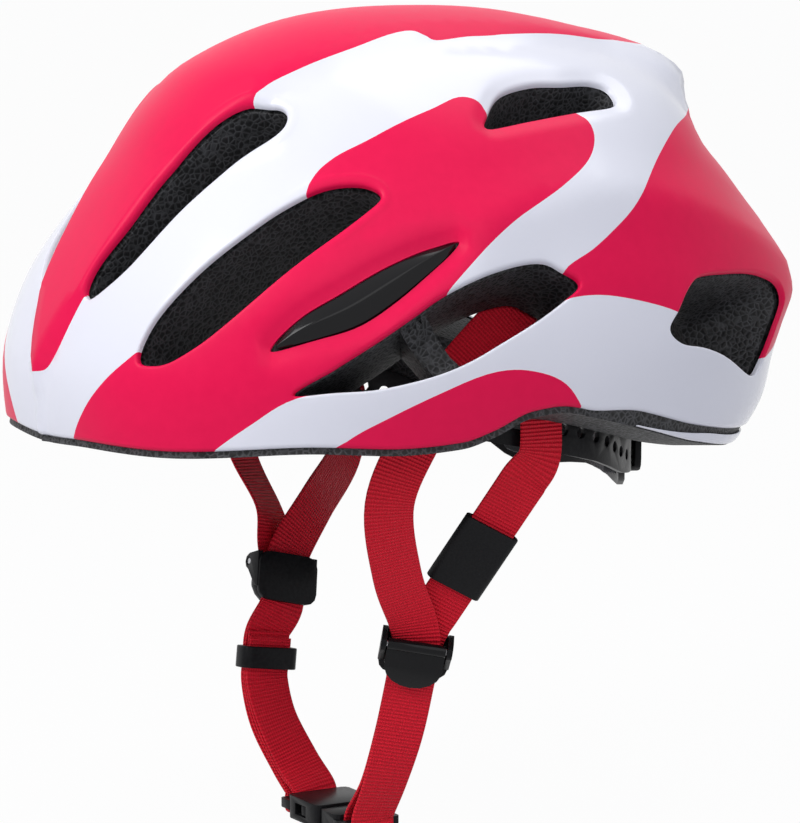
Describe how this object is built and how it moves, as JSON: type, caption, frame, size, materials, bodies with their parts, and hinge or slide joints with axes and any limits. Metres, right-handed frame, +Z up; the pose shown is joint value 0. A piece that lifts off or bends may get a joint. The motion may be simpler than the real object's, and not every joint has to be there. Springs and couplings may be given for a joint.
{
  "type": "bicycle helmet",
  "caption": "Vented road cycling helmet: painted shell over bead foam, red webbing harness with cam dividers and side-release buckle, rear cradle with fit dial.",
  "frame": {"origin": "middle of the head opening, at the height of the rear rim", "axes": "+Z up through the crown, -Y forwards, +X to the wearer's left"},
  "size_m": [0.1978, 0.2735, 0.2753],
  "materials": {
    "shell_paint": "satin and gloss two-colour paint, red over white",
    "trim_white": "gloss white",
    "bead_foam": "black expanded bead foam",
    "gloss_insert": "gloss black",
    "pad_fabric": "black brushed fabric",
    "webbing": "red woven polyester",
    "sleeve_rubber": "matte black",
    "hardware": "black moulded, half gloss",
    "pin_steel": "plain",
    "cradle_plastic": "black moulded, half gloss",
    "dial_plastic": "black moulded, ribbed"
  },
  "bodies": {
    "helmet": {"outer_shell": "shell_paint", "foam_liner": "bead_foam", "rear_rim_wrap": "trim_white", "left_insert": "gloss_insert", "right_insert": "gloss_insert", "brow_pad": "pad_fabric", "crown_pad": "pad_fabric", "left_side_pad": "pad_fabric", "right_side_pad": "pad_fabric", "left_strap_anchor": "cradle_plastic", "right_strap_anchor": "cradle_plastic", "left_temple_pin": "cradle_plastic", "right_temple_pin": "cradle_plastic", "left_strap": "webbing", "right_front_strap": "webbing", "right_rear_strap": "webbing", "left_divider_base": "hardware", "left_divider_pin": "pin_steel", "right_divider_base": "hardware", "right_divider_pin": "pin_steel", "buckle_female": "hardware"},
    "cradle": {"left_arm": "cradle_plastic", "right_arm": "cradle_plastic", "cradle_frame": "cradle_plastic", "dial_cover": "cradle_plastic", "left_nape_pad": "pad_fabric", "right_nape_pad": "pad_fabric"},
    "dial": {"dial": "dial_plastic"},
    "left_rack": {"left_rack": "cradle_plastic"},
    "right_rack": {"right_rack": "cradle_plastic"},
    "left_lever": {"left_divider_lever": "hardware"},
    "right_lever": {"right_divider_lever": "hardware"},
    "keeper": {"keeper_ring": "hardware"},
    "sleeve": {"strap_sleeve": "sleeve_rubber"},
    "male": {"buckle_male": "hardware"},
    "prong_front": {"latch_arm_front": "hardware"},
    "prong_rear": {"latch_arm_rear": "hardware"}
  },
  "joints": [
    {"name": "cradle_swing", "type": "hinge", "parent": "helmet", "child": "cradle", "pos_m": [0, -0.062, 0.022], "axis": [1, 0, 0], "range_deg": [-3, 4]},
    {"name": "fit_dial", "type": "hinge", "parent": "cradle", "child": "dial", "pos_m": [0, 0.072, -0.002], "axis": [0, -1, 0], "range_deg": [0, 220]},
    {"name": "left_rack_travel", "type": "hinge", "parent": "cradle", "child": "left_rack", "pos_m": [0, 0.002, -0.002], "axis": [0, 0, 1], "range_deg": [0, 9.5]},
    {"name": "right_rack_travel", "type": "hinge", "parent": "cradle", "child": "right_rack", "pos_m": [0, 0.002, -0.002], "axis": [0, 0, -1], "range_deg": [0, 9.5]},
    {"name": "left_lever_open", "type": "hinge", "parent": "helmet", "child": "left_lever", "pos_m": [0.04703, -0.02309, -0.05905], "axis": [-0.4842, -0.8598, 0.162], "range_deg": [0, 100]},
    {"name": "right_lever_open", "type": "hinge", "parent": "helmet", "child": "right_lever", "pos_m": [-0.04734, -0.02406, -0.04602], "axis": [0, 0.9731, -0.2302], "range_deg": [0, 100]},
    {"name": "keeper_slide", "type": "slide", "parent": "helmet", "child": "keeper", "axis": [-0.0888, 0.1381, 0.9864], "range_m": [-0.003, 0.003]},
    {"name": "sleeve_slide", "type": "slide", "parent": "helmet", "child": "sleeve", "axis": [0.4465, 0.3388, 0.8281], "range_m": [-0.006, 0.008]},
    {"name": "buckle_release", "type": "slide", "parent": "helmet", "child": "male", "axis": [1, 0, 0], "range_m": [0, 0.024], "deforming": ["left_strap", "latch_arm_front", "latch_arm_rear"]},
    {"name": "prong_front_press", "type": "hinge", "parent": "male", "child": "prong_front", "pos_m": [0.005, -0.0315, -0.123], "axis": [0, 0, -1], "range_deg": [0, 9], "stiffness_Nm_per_rad": 0.1},
    {"name": "prong_rear_press", "type": "hinge", "parent": "male", "child": "prong_rear", "pos_m": [0.005, -0.0205, -0.123], "axis": [0, 0, 1], "range_deg": [0, 9], "stiffness_Nm_per_rad": 0.1}
  ],
  "couplings": [
    {"joint": "left_rack_travel", "follows": "fit_dial", "ratio": 0.042895},
    {"joint": "right_rack_travel", "follows": "fit_dial", "ratio": 0.042895}
  ]
}
